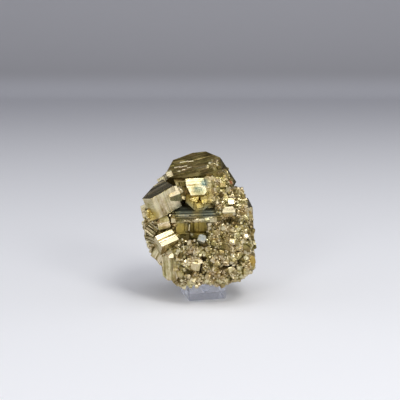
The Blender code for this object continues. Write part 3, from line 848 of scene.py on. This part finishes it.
def rough_core():
    """The core made to show: pockets taken out, and a broken, grainy surface sunk into it."""
    core = lofted_core()
    chance = random.Random(SEED)
    places = list(small_places(core, chance))
    clearings = [clearing(row) for row in FRONT_CRYSTALS if not row.crust]
    for pocket in (*POCKETS, *CREVICES, *clearings):
        tool = block_of(pocket.name, pocket.size)
        tool.data.transform(axes_of(pocket))
        modify(core, "BOOLEAN", operation="DIFFERENCE", solver="EXACT", object=tool)
        bpy.data.objects.remove(tool)
    modify(core, "REMESH", mode="VOXEL", voxel_size=CORE_GRAIN * MM)
    for spread, depth, kind in CORE_ROUGHNESS:
        texture = bpy.data.textures.new("broken", kind)
        texture.noise_scale = spread * MM
        modify(core, "DISPLACE", texture=texture, mid_level=1.0, strength=depth * MM)
    # The core is painted brown and dark, partly tarnish and partly shade between the grains.
    give_values(core, CORE_TARNISH_AND_SHADE, CORE_SHADED_TONE)
    core.data.uv_layers.new(name="lines")
    return core, places


def unit_shape(name, cuts=(), width=0.0, segments=1):
    """A cube of unit size with its corners cut and its edges worn, as shares of that size."""
    made = block_of(name, UNIT_CUBE)
    edit(made)
    take_off(UNIT_CUBE, cuts)
    if width:
        wear(width, segments)
    leave()
    return made


def small_crystal_shapes():
    """Small crystals of unit size: stepped, chipped, a twin of two, and two round-edged lumps."""
    stepped = unit_shape("stepped", width=SMALL_WEAR)
    edit(stepped)
    for axis, side in ((2, 1), (1, -1), (0, 1)):

        def main_face(face, axis=axis, side=side):
            return face.normal[axis] * side > 0.999 and face.calc_area() > 0.5

        pick_faces(stepped, main_face)
        bpy.ops.mesh.inset(thickness=STEP_WIDTH, depth=-STEP_DEPTH)
    leave()
    chips = (((1, -1, 1), 0.72), ((-1, -1, 0.3), 0.86), ((0, 1, 1), 0.9))
    chipped = unit_shape("chipped", chips, width=SMALL_WEAR)
    # The twin's smaller half stands out of a corner of the larger one.
    first = unit_shape("twin", width=TWIN_WEAR)
    second = block_of("twin_half", [TWIN_SHARE * side for side in UNIT_CUBE])
    turn = Euler(TWIN_TURN).to_matrix().to_4x4()
    second.data.transform(Matrix.Translation(TWIN_PLACE) @ turn)
    lumps = [unit_shape("lump", width=wide, segments=2) for wide in LUMP_WEARS]
    return [stepped, chipped, joined([first, second], "twin")] + lumps * 2


def grain_shapes():
    """Grains of unit size, with few faces: the twelve-faced form of pyrite, and two worn cubes."""
    roofs = [(up, lean) for up in (2, -2) for lean in (-1, 1)]
    faces = [(0, up, lean) for up, lean in roofs]
    faces += [(lean, 0, up) for up, lean in roofs]
    faces += [(up, lean, 0) for up, lean in roofs]
    corners = (((1, -1, 1), 0.66), ((-1, -1, 1), 0.72), ((1, 1, -1), 0.75))
    shapes = [
        unit_shape("twelve_faced", [(face, TWELVE_REACH) for face in faces]),
        unit_shape("cut_grain", corners),
        unit_shape("worn_grain", width=GRAIN_WEAR),
    ]
    for grain in shapes:
        edit(grain)
        bpy.ops.mesh.select_all(action="SELECT")
        bpy.ops.mesh.quads_convert_to_tris()
        leave()
    return shapes


def seen_from(row, points):
    """The points along the crystal's own axes, in mm from its centre."""
    axes = np.array(axes_of(row))
    return (points - axes[:3, 3]) @ axes[:3, :3] / MM


def kept_clear(points, gap):
    """Which points lie before a clean front face or in a crevice, where nothing small grows."""
    hidden = np.zeros(len(points), bool)
    for row in FRONT_CRYSTALS + CREVICES:
        if row.crust:
            continue
        across, into, up = seen_from(row, points).T
        wide, deep, high = np.array(half_of(row.size)) + gap
        beside = (np.abs(across) < wide) & (np.abs(up) < high)
        hidden |= beside & (into > -deep - FREE_BEFORE) & (into < deep)
    return hidden


def small_crystals(places, chance):
    """The small crystals, the larger ones with growth lines of their own."""
    shapes = small_crystal_shapes()
    made = []
    for place, sides, size in places:
        tarnish = chance.uniform(*SMALL_TARNISH)
        if kept_clear(np.array([place.translation]), 0.0)[0]:
            continue
        if size > LARGE_FROM:
            lines = chance.choice(("across", "up"))
            row = Crystal("small", None, sides, None, (), lines, SMALL_RELIEF, tarnish)
            made.append(crystal(row, place, chance))
            continue
        copy = in_scene(chance.choice(shapes).copy())
        copy.data = copy.data.copy()
        copy.data.transform(Matrix.Diagonal((sides[0] * MM, sides[2] * MM, sides[1] * MM, 1)))
        map_lines(copy, "up", chance.uniform(*MAP_SHIFTS), None, tarnish, chance.random())
        copy.data.transform(place)
        made.append(copy)
    for shape in set(shapes):
        bpy.data.objects.remove(shape)
    return made


def lump(row, chance):
    """One round-edged lump with a few flats, as the crust grows them."""
    face, size, turn, tarnish = row
    sides = (size, size * LUMP_HEIGHT, size)
    made = block_of("round_lump", sides)
    edit(made)
    cuts = [
        ([chance.uniform(-1, 1) for _ in range(3)], chance.uniform(*LUMP_CUTS))
        for _ in range(LUMP_FLATS)
    ]
    take_off(sides, cuts)
    wear(size * LUMP_ROUNDING * MM, segments=2)
    leave()
    map_lines(made, "up", chance.uniform(*MAP_SHIFTS), None, tarnish, LUMP_TONE)
    made.data.transform(axes_of(Crystal("round_lump", face, (size,) * 3, turn)))
    return made


def plates_on(row, chance):
    """Thin plates on a wide face, each with its own lines, so that none runs all the way."""
    width, height, depth = row.size
    axes = axes_of(row)
    front = Vector((0, -depth / 2, 0)) * MM
    made = []
    for number in range(PLATES):
        wide = width * chance.uniform(*PLATE_WIDTHS)
        high = height * chance.uniform(*PLATE_HEIGHTS)
        across = chance.uniform(*PLATES_ACROSS) * width
        out = chance.uniform(*PLATE_STEPS)
        up = chance.uniform(*PLATES_UP) * height
        slant = math.radians(-row.slant + chance.uniform(-PLATE_SLANT, PLATE_SLANT))
        cuts = [
            ((end, 0, chance.uniform(-PLATE_SKEW, PLATE_SKEW)), PLATE_REACH) for end in (1, -1)
        ]
        plate = Crystal(
            f"plate_{number}", None, (wide, high, PLATE_THICKNESS), None, cuts,
            relief=PLATE_RELIEF, tarnish=row.tarnish - PLATE_FRESHER,
        )
        middle = Vector((across, -out, up)) + Vector((0, PLATE_THICKNESS / 2, 0))
        sunk = Matrix.Translation(front + middle * MM)
        made.append(crystal(plate, axes @ sunk @ Matrix.Rotation(slant, 4, "Y"), chance))
    return made


# --- the crust of grains ---
def triangles_of(obj):
    """The mesh's vertices and its triangles, as arrays."""
    mesh = obj.data
    mesh.calc_loop_triangles()
    points = np.array([vertex.co for vertex in mesh.vertices])
    faces = np.array([triangle.vertices[:] for triangle in mesh.loop_triangles])
    return points, faces


def distances(points, middle):
    """How far the points are from a place, in mm."""
    return np.linalg.norm(points / MM - middle, axis=1)


def crust_shares(points, normals):
    """How much of the surface grains cover at each point, as a share."""
    x, _, z = (points / MM).T
    share = np.full(len(points), THIN_CRUST)
    for right_of, below in WHOLE_CRUST:
        share = np.where((x > right_of) & (z < below), 1.0, share)
    left_of, above, own = UPPER_LEFT
    share = np.where((x < left_of) & (z > above), own, share)
    share = np.where(normals[:, 1] > BACK_FROM, BACK_CRUST, share)
    clean = np.ones(len(points))
    for row in LARGE_CRYSTALS:
        half = np.array(half_of(row.size)) + (CRUSTED_GAP if row.crust else CRUST_GAP)
        on = (np.abs(seen_from(row, points)) < half).all(axis=1)
        clean = np.where(on, np.minimum(clean, row.crust), clean)
    share = np.where(clean < 1, clean, share)
    share = np.where(kept_clear(points, CRUST_GAP), 0.0, share)
    for face, size, _, _ in LUMPS:
        middle = np.add(face, (0, size / 2, 0))
        share = np.where(distances(points, middle) < LUMP_GAP * size, 0.0, share)
    for middle, radius, own in CRUSTED_SPOTS:
        share = np.where(distances(points, middle) < radius, own, share)
    return share


def grain_places(obj, random_source):
    """Where the grains stand on the solid's surface, as rows of (point, normal, size)."""
    points, faces = triangles_of(obj)
    a, b, c = (points[faces[:, i]] for i in range(3))
    crosses = np.cross(b - a, c - a)
    areas = np.linalg.norm(crosses, axis=1) / 2
    keep = areas > SLIVER
    a, b, c, crosses, areas = a[keep], b[keep], c[keep], crosses[keep], areas[keep]
    chosen = random_source.choice(len(a), GRAIN_TRIES, p=areas / areas.sum())
    u, v = random_source.random(GRAIN_TRIES), random_source.random(GRAIN_TRIES)
    fold = u + v > 1
    u, v = np.where(fold, 1 - u, u), np.where(fold, 1 - v, v)
    at = a[chosen] + (b - a)[chosen] * u[:, None] + (c - a)[chosen] * v[:, None]
    normals = crosses[chosen] / (2 * areas[chosen])[:, None]
    small, large = GRAIN_SIZES
    sizes = small + (large - small) * random_source.random(GRAIN_TRIES) ** 2
    wanted = random_source.random(GRAIN_TRIES) < crust_shares(at, normals)
    # A grain is left out where it would crowd an earlier one; cells hold those to compare with.
    cells = {}
    rows = []
    cell_size = large * MM
    for index in np.flatnonzero(wanted):
        point, size = at[index], sizes[index]
        cell = tuple((point // cell_size).astype(int))
        near = (
            other
            for i, j, k in product((-1, 0, 1), repeat=3)
            for other in cells.get((cell[0] + i, cell[1] + j, cell[2] + k), ())
        )
        apart = GRAIN_CROWDING * MM
        if not any(np.abs(point - at[o]).sum() < apart * (size + sizes[o]) for o in near):
            cells.setdefault(cell, []).append(index)
            rows.append(index)
    return at[rows], normals[rows], sizes[rows]


def spins(random_source, count):
    """Random turns, as an array of matrices."""
    q = random_source.normal(size=(count, 4))
    q /= np.linalg.norm(q, axis=1)[:, None]
    w, x, y, z = q.T
    return np.array(
        (
            (1 - 2 * (y * y + z * z), 2 * (x * y - z * w), 2 * (x * z + y * w)),
            (2 * (x * y + z * w), 1 - 2 * (x * x + z * z), 2 * (y * z - x * w)),
            (2 * (x * z - y * w), 2 * (y * z + x * w), 1 - 2 * (x * x + y * y)),
        )
    ).transpose(2, 0, 1)


def over_stand(points):
    """Which of the points are in the stand's space."""
    angle = math.radians(STAND_TURN)
    x, y, z = points[..., 0] / MM, points[..., 1] / MM, points[..., 2] / MM
    across = x * math.cos(angle) + y * math.sin(angle)
    into = y * math.cos(angle) - x * math.sin(angle)
    half = STAND_SIDE / 2 + BED_GAP
    return (np.abs(across) < half) & (np.abs(into) < half) & (z < STAND_HEIGHT + BED_GAP)


def crust(obj):
    """The grains, joined into one piece for each side of the stone."""
    random_source = np.random.default_rng(GRAIN_SEED)
    at, normals, sizes = grain_places(obj, random_source)
    count = len(at)
    turns = spins(random_source, count)
    sunk = random_source.uniform(*GRAIN_SUNK, count)
    tones = random_source.random(count)
    # Painted shade: a grain that lies deep in the crust is made browner and darker, so that the
    # gaps between the grains look shaded.
    tarnish = random_source.normal(*GRAIN_TARNISH, count) + DEEP_GRAIN_SHADE * sunk
    tarnish = np.clip(tarnish, 0, MOST_TARNISH)
    # Spots of added tarnish and painted shade, such as under the block.
    for middle, radius, added in TARNISH_AND_SHADE_SPOTS:
        far = distances(at, middle) / radius
        tarnish += added * np.clip(TARNISH_AND_SHADE_FADE * (1 - far), 0, 1)
    masters = grain_shapes()
    shapes = [triangles_of(shape) for shape in masters]
    for shape in masters:
        bpy.data.objects.remove(shape)
    kinds = random_source.integers(0, len(shapes), count)
    stretch = random_source.uniform(*GRAIN_SIDES, (count, 3))
    low, high = (np.array(corner) for corner in CAD_BOX)
    low, high = low + BOX_MARGIN * MM, high - BOX_MARGIN * MM
    front = normals[:, 1] < BACK_FROM
    pieces = []
    for side, on_side in (("front", front), ("back", ~front)):
        points, faces, values = [], [], []
        total = 0
        for kind, (corners, triangles) in enumerate(shapes):
            chosen = np.flatnonzero(on_side & (kinds == kind))
            local = corners[None] * stretch[chosen][:, None] * sizes[chosen][:, None, None] * MM
            placed = np.einsum("nij,nkj->nki", turns[chosen], local)
            placed += (at[chosen] - normals[chosen] * (sunk * sizes)[chosen][:, None] * MM)[:, None]
            inside = ((placed > low) & (placed < high)).all(axis=(1, 2))
            inside &= ~over_stand(placed).any(axis=1)
            placed, chosen = placed[inside], chosen[inside]
            offsets = total + np.arange(len(placed)) * len(corners)
            faces.append((triangles[None] + offsets[:, None, None]).reshape(-1, 3))
            points.append(placed.reshape(-1, 3))
            values.append(np.repeat(np.stack((tarnish, tones))[:, chosen], len(triangles), axis=1))
            total += len(placed) * len(corners)
        mesh = bpy.data.meshes.new(f"pyrite_crust_{side}")
        mesh.from_pydata(np.concatenate(points).tolist(), [], np.concatenate(faces).tolist())
        piece = in_scene(bpy.data.objects.new(mesh.name, mesh))
        give_values(piece, *np.concatenate(values, axis=1))
        mesh.uv_layers.new(name="lines")
        pieces.append(piece)
    return pieces


def seat():
    """The corner of the stone that rests in the notch, a cube corner down."""
    made = block_of("seat", (SEAT_SIDE,) * 3)
    corner_down = Vector((1, 1, 1)).rotation_difference(Vector((0, 0, 1))).to_matrix()
    turn = Matrix.Rotation(math.radians(NOTCH_TURN), 3, "Z") @ corner_down
    made.data.transform(turn.to_4x4())
    lowest = min(vertex.co.z for vertex in made.data.vertices)
    tip = (NOTCH_FLOOR + BED_GAP * math.sqrt(3)) * MM
    made.data.transform(Matrix.Translation((0, 0, tip - lowest)))
    edit(made)
    saw_off((0, 0, SEAT_TIP * MM), (0, 0, -1))
    leave()
    map_lines(made, "up", 0.0)
    return made


# --- materials ---
def add(tree, kind, inputs=(), **settings):
    """Adds a node. An input is a value, an output to link, or a node, whose first output is linked."""
    made = tree.nodes.new("ShaderNode" + kind)
    for name, value in settings.items():
        setattr(made, name, value)
    for key, value in dict(inputs).items():
        if isinstance(value, bpy.types.Node):
            value = value.outputs[0]
        if isinstance(value, bpy.types.NodeSocket):
            tree.links.new(value, made.inputs[key])
        else:
            made.inputs[key].default_value = value
    return made


def material(name):
    """A new material with an empty node tree."""
    made = bpy.data.materials.new(name)
    made.use_nodes = True
    made.node_tree.nodes.clear()
    return made, made.node_tree


def natural_pyrite(name, shine, lines):
    """Iron sulphide, grown and never polished.

    It is a metal of pale brass colour whose faces are bright in places and tarnished olive to brown in
    others; its tarnish also carries painted shade, and some of its stains are painted reflection and
    bounce light. Lines gives it streaks along the growth lines; the crust has none.
    """
    made, tree = material(name)
    at = add(tree, "TexCoord").outputs["Object"]
    # The tarnish attribute holds real tarnish, and also painted shade on deep grains, on the core and
    # in the darker spots of the crust.
    tarnish = add(tree, "Attribute", attribute_name="tarnish").outputs["Fac"]
    tone = add(tree, "Attribute", attribute_name="tone").outputs["Fac"]
    scale = 1 / (PATCH_WIDTH * MM)
    rough_edged = {"Vector": at, "Scale": scale, "Detail": 5, "Roughness": PATCH_ROUGHNESS}
    patches = add(tree, "TexNoise", rough_edged)
    specks = add(tree, "TexNoise", {"Vector": at, "Scale": 1 / (SPECK_WIDTH * MM), "Detail": 2})
    height = specks
    patterns = [(patches, PATCH_TARNISH), (specks, SPECK_TARNISH)]
    if lines:
        # The line map is in mm, so the streaks keep their real length and width.
        mapped = add(tree, "UVMap", uv_map="lines")
        scale = (1 / STREAK_LENGTH, 1 / STREAK_WIDTH, 1)
        along = add(tree, "Mapping", {"Vector": mapped, "Scale": scale})
        streaks = add(tree, "TexNoise", {"Vector": along, "Scale": 1.0, "Detail": 3})
        stacked = {0: streaks, 1: STREAK_HEIGHT, 2: specks}
        height = add(tree, "Math", stacked, operation="MULTIPLY_ADD")
        patterns.append((streaks, STREAK_TARNISH))
    # Each pattern raises and lowers the tarnish about the face's own.
    for pattern, amount in patterns:
        raised = {0: pattern, 1: amount, 2: tarnish}
        tarnish = add(tree, "Math", raised, operation="MULTIPLY_ADD")
        tarnish = add(tree, "Math", {0: tarnish, 1: -amount / 2}, operation="ADD")
    colour = linear(FRESH_BRASS)
    for darker, (low, high) in ((OLIVE_BRASS, OLIVE_FROM_TO), (BROWN_TARNISH, BROWN_FROM_TO)):
        share = add(tree, "MapRange", {"Value": tarnish, "From Min": low, "From Max": high})
        mixed = {0: share, 6: colour, 7: linear(darker)}
        colour = add(tree, "Mix", mixed, data_type="RGBA").outputs[2]
    dark, light = TONES
    shade = add(tree, "MapRange", {"Value": tone, "To Min": dark, "To Max": light})
    hues = add(tree, "TexNoise", {"Vector": at, "Scale": 1 / (LEAN_WIDTH * MM), "Detail": 3})
    low, high = LEAN_FROM_TO
    copper, green = LEANS
    middling = {"Value": hues, "From Min": low, "From Max": high}
    lean = add(tree, "MapRange", middling | {"To Min": copper, "To Max": green})
    leaning = {"Color": colour, "Hue": lean, "Value": shade, "Saturation": SATURATION}
    colour = add(tree, "HueSaturation", leaning)
    metallic = 1.0
    # Most stains are rust and film; the teal ones are a painted reflection, and the golden one under
    # the bright crystal is painted bounce light.
    for middle, radius, hue, metal in STAINS:
        place = tuple(length * MM for length in middle)
        far = add(tree, "VectorMath", {0: at, 1: place}, operation="DISTANCE").outputs["Value"]
        edges = {"From Min": radius * MM, "From Max": radius * STAIN_CORE * MM}
        near = add(tree, "MapRange", {"Value": far, **edges})
        # The stain's edge wanders with the specks.
        near = add(tree, "Math", {0: near, 1: specks}, operation="MULTIPLY")
        stronger = {0: near, 1: STAIN_STRENGTH}
        near = add(tree, "Math", stronger, operation="MULTIPLY", use_clamp=True)
        mixed = {0: near, 6: colour, 7: linear(hue)}
        colour = add(tree, "Mix", mixed, data_type="RGBA").outputs[2]
        if metal < 1:
            taken = {0: near, 1: metal - 1.0, 2: metallic}
            metallic = add(tree, "Math", taken, operation="MULTIPLY_ADD")
    fresh, tarnished = shine
    tarnishing = {"Value": tarnish, "From Min": 0.0, "From Max": FULL_TARNISH}
    rough = add(tree, "MapRange", tarnishing | {"To Min": fresh, "To Max": tarnished})
    relief = {"Height": height, "Distance": BUMP_DEPTH * MM, "Strength": BUMP_STRENGTH}
    bump = add(tree, "Bump", relief)
    finish = {"Base Color": colour, "Metallic": metallic, "Roughness": rough, "Normal": bump}
    add(tree, "OutputMaterial", {"Surface": add(tree, "BsdfPrincipled", finish)})
    return made


def cast_acrylic():
    """Acrylic cast as a sheet, sawn and polished.

    It is clear with a cold tint, and fine scratches from the polishing give it a faint haze.
    """
    made, tree = material("cast acrylic, polished")
    at = add(tree, "TexCoord").outputs["Object"]
    scale = 1 / (SCRATCH_SPREAD * MM)
    scratches = add(tree, "TexNoise", {"Vector": at, "Scale": scale, "Detail": 4})
    worn = {"Value": scratches, "To Min": 0.0, "To Max": SCRATCH_ROUGHNESS}
    finish = {
        "Base Color": linear(COLD_CLEAR),
        "Roughness": add(tree, "MapRange", worn),
        "IOR": ACRYLIC_IOR,
        "Transmission Weight": 1 - ACRYLIC_HAZE,
    }
    add(tree, "OutputMaterial", {"Surface": add(tree, "BsdfPrincipled", finish)})
    return made


# --- the stone ---
def make_stone():
    """The stone's pieces, which stand in place of the solid."""
    chance = random.Random(SEED + 1)
    core, places = rough_core()
    grown = natural_pyrite("natural pyrite, grown faces", GROWN_SHINE, lines=True)
    grainy = natural_pyrite("natural pyrite, fine crust", CRUST_SHINE, lines=False)
    large = [crystal(row, axes_of(row), chance) for row in FRONT_CRYSTALS + STEPS + BACK_CRYSTALS]
    large += plates_on(FRONT_CRYSTALS[0], chance)
    large += [lump(row, chance) for row in LUMPS]
    small = small_crystals(places, chance)
    large = joined(large + [seat()], "pyrite_crystals")
    small = joined(small, "pyrite_small_crystals")
    grains = crust(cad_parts["pyrite_cluster"])
    finishes = [(core, grainy), (large, grown), (small, grown)]
    finishes += [(grain, grainy) for grain in grains]
    for piece, finish in finishes:
        piece.data.materials.clear()
        piece.data.materials.append(finish)
        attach(piece, "root")
        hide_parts("pyrite_cluster")


def finish_stand():
    """The stand keeps the solid's own mesh."""
    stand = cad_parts["acrylic_stand"]
    stand.data.materials.clear()
    stand.data.materials.append(cast_acrylic())
    stand.visible_shadow = False  # clear acrylic lets nearly all of the light through


# --- the studio ---
FLOOR_SIZE = 3.0
FLOOR_GAP = 0.0001  # under the stand, so that the two faces are not in one plane
SWEEP_START = 0.95  # m behind the object, where the floor begins to rise
SWEEP_RADIUS = 0.30
SWEEP_STEPS = 24
WALL_HEIGHT = 1.2
PAPER = "#F8F9FD"
PAPER_ROUGHNESS = 0.8
# Painted light falloff on the paper: the floor darkens towards the back, and the sweep and the wall
# darken as they rise out of the light, as (axis, from, to in m, colour).
PAPER_PAINTED_FALLOFF = (
    ("Y", -0.15, 1.1, "#D8D9E0"),
    ("Z", 0.0, 0.035, "#B5B5BA"),
    ("Z", 0.15, 0.45, "#404045"),
)

# The panels of the soft box, as (name, distance from the object in m, azimuth from the viewer
# towards +X and elevation in degrees, width and height in m, radiance, colour).
PANELS = (
    ("ceiling", 1.05, 0, 82, (1.30, 0.62), 1.42, "#FFFFFF"),
    ("high_key", 1.10, 34, 53, (0.34, 0.34), 9.5, "#FFFEFA"),
    ("low_right", 1.30, 40, 27, (0.30, 0.30), 10.0, "#FFFEFA"),
    ("low_left", 1.30, -30, 25, (0.26, 0.26), 9.0, "#FBFCFF"),
    ("front", 1.60, 0, 14, (2.20, 1.00), 0.70, "#F6F9FF"),
    ("left_side", 1.50, -85, 16, (1.40, 1.00), 0.85, "#F6F9FF"),
    ("right_side", 1.50, 85, 16, (1.40, 1.00), 0.85, "#F6F9FF"),
)
LIGHTS_AIM = (0.0, 0.0, 0.035)
ROOM_GREY = "#7A7A80"

LENS = 85  # mm
CAMERA_AWAY = 0.4722
CAMERA_AIM = (-0.0015, 0.0, 0.0493)


def make_floor():
    """A pale paper sweep: flat under the object, then a curve up into a wall."""
    bpy.ops.object.select_all(action="DESELECT")
    place = (0, SWEEP_START - FLOOR_SIZE / 2, -FLOOR_GAP)
    bpy.ops.mesh.primitive_plane_add(size=FLOOR_SIZE, location=place)
    floor = bpy.context.object
    floor.name = "paper_sweep"
    bpy.ops.object.transform_apply(location=True, rotation=False, scale=False)
    edit(floor)
    bpy.ops.mesh.select_mode(type="EDGE")
    bpy.ops.mesh.select_all(action="DESELECT")
    shape = bmesh.from_edit_mesh(floor.data)
    for edge in shape.edges:
        edge.select_set(all(vertex.co.y > SWEEP_START - 1e-4 for vertex in edge.verts))
    bmesh.update_edit_mesh(floor.data)
    centre = (0, SWEEP_START, SWEEP_RADIUS)
    bpy.ops.mesh.spin(steps=SWEEP_STEPS, angle=-math.pi / 2, center=centre, axis=(1, 0, 0))
    bpy.ops.mesh.extrude_region_move(TRANSFORM_OT_translate={"value": (0, 0, WALL_HEIGHT)})
    bpy.ops.mesh.select_all(action="SELECT")
    bpy.ops.mesh.normals_make_consistent(inside=False)
    leave()
    bpy.ops.object.shade_smooth()
    made, tree = material("matt paper")
    at = add(tree, "SeparateXYZ", {0: add(tree, "TexCoord").outputs["Object"]})
    colour = linear(PAPER)
    # Painted falloff: the paper darkens away from the lights.
    for axis, low, high, shade in PAPER_PAINTED_FALLOFF:
        spread = {"Value": at.outputs[axis], "From Min": low, "From Max": high}
        share = add(tree, "MapRange", spread, interpolation_type="SMOOTHSTEP")
        mixed = {0: share, 6: colour, 7: linear(shade)}
        colour = add(tree, "Mix", mixed, data_type="RGBA").outputs[2]
    shader = add(tree, "BsdfPrincipled", {"Base Color": colour, "Roughness": PAPER_ROUGHNESS})
    add(tree, "OutputMaterial", {"Surface": shader})
    floor.data.materials.append(made)


def make_lights():
    """Soft panels round the object, and a dim grey room."""
    for name, distance, azimuth, elevation, size, radiance, colour in PANELS:
        light = bpy.data.lights.new(name, "AREA")
        light.shape = "RECTANGLE"
        light.size, light.size_y = size
        light.energy = radiance * math.pi * size[0] * size[1]
        light.color = linear(colour)[:3]
        lamp = in_scene(bpy.data.objects.new(name, light))
        lamp.rotation_euler = (math.radians(90 - elevation), 0, math.radians(azimuth))
        away = lamp.rotation_euler.to_matrix() @ Vector((0, 0, distance))
        lamp.location = Vector(LIGHTS_AIM) + away
    room = bpy.data.worlds.new("dim room")
    room.use_nodes = True
    room.node_tree.nodes["Background"].inputs["Color"].default_value = linear(ROOM_GREY)
    bpy.context.scene.world = room


def make_camera():
    """A long lens a little above the object, straight in front of it."""
    lens = bpy.data.cameras.new("camera")
    lens.lens = LENS
    lens.clip_start = 0.01
    camera = in_scene(bpy.data.objects.new("camera", lens))
    away = Vector((0, -math.cos(TILT), math.sin(TILT))) * CAMERA_AWAY
    camera.location = Vector(CAMERA_AIM) + away
    camera.rotation_euler = (math.pi / 2 - TILT, 0, 0)
    bpy.context.scene.camera = camera


make_stone()
finish_stand()
make_floor()
make_lights()
make_camera()
bpy.context.scene.view_settings.view_transform = "Standard"

bpy.context.view_layer.update()
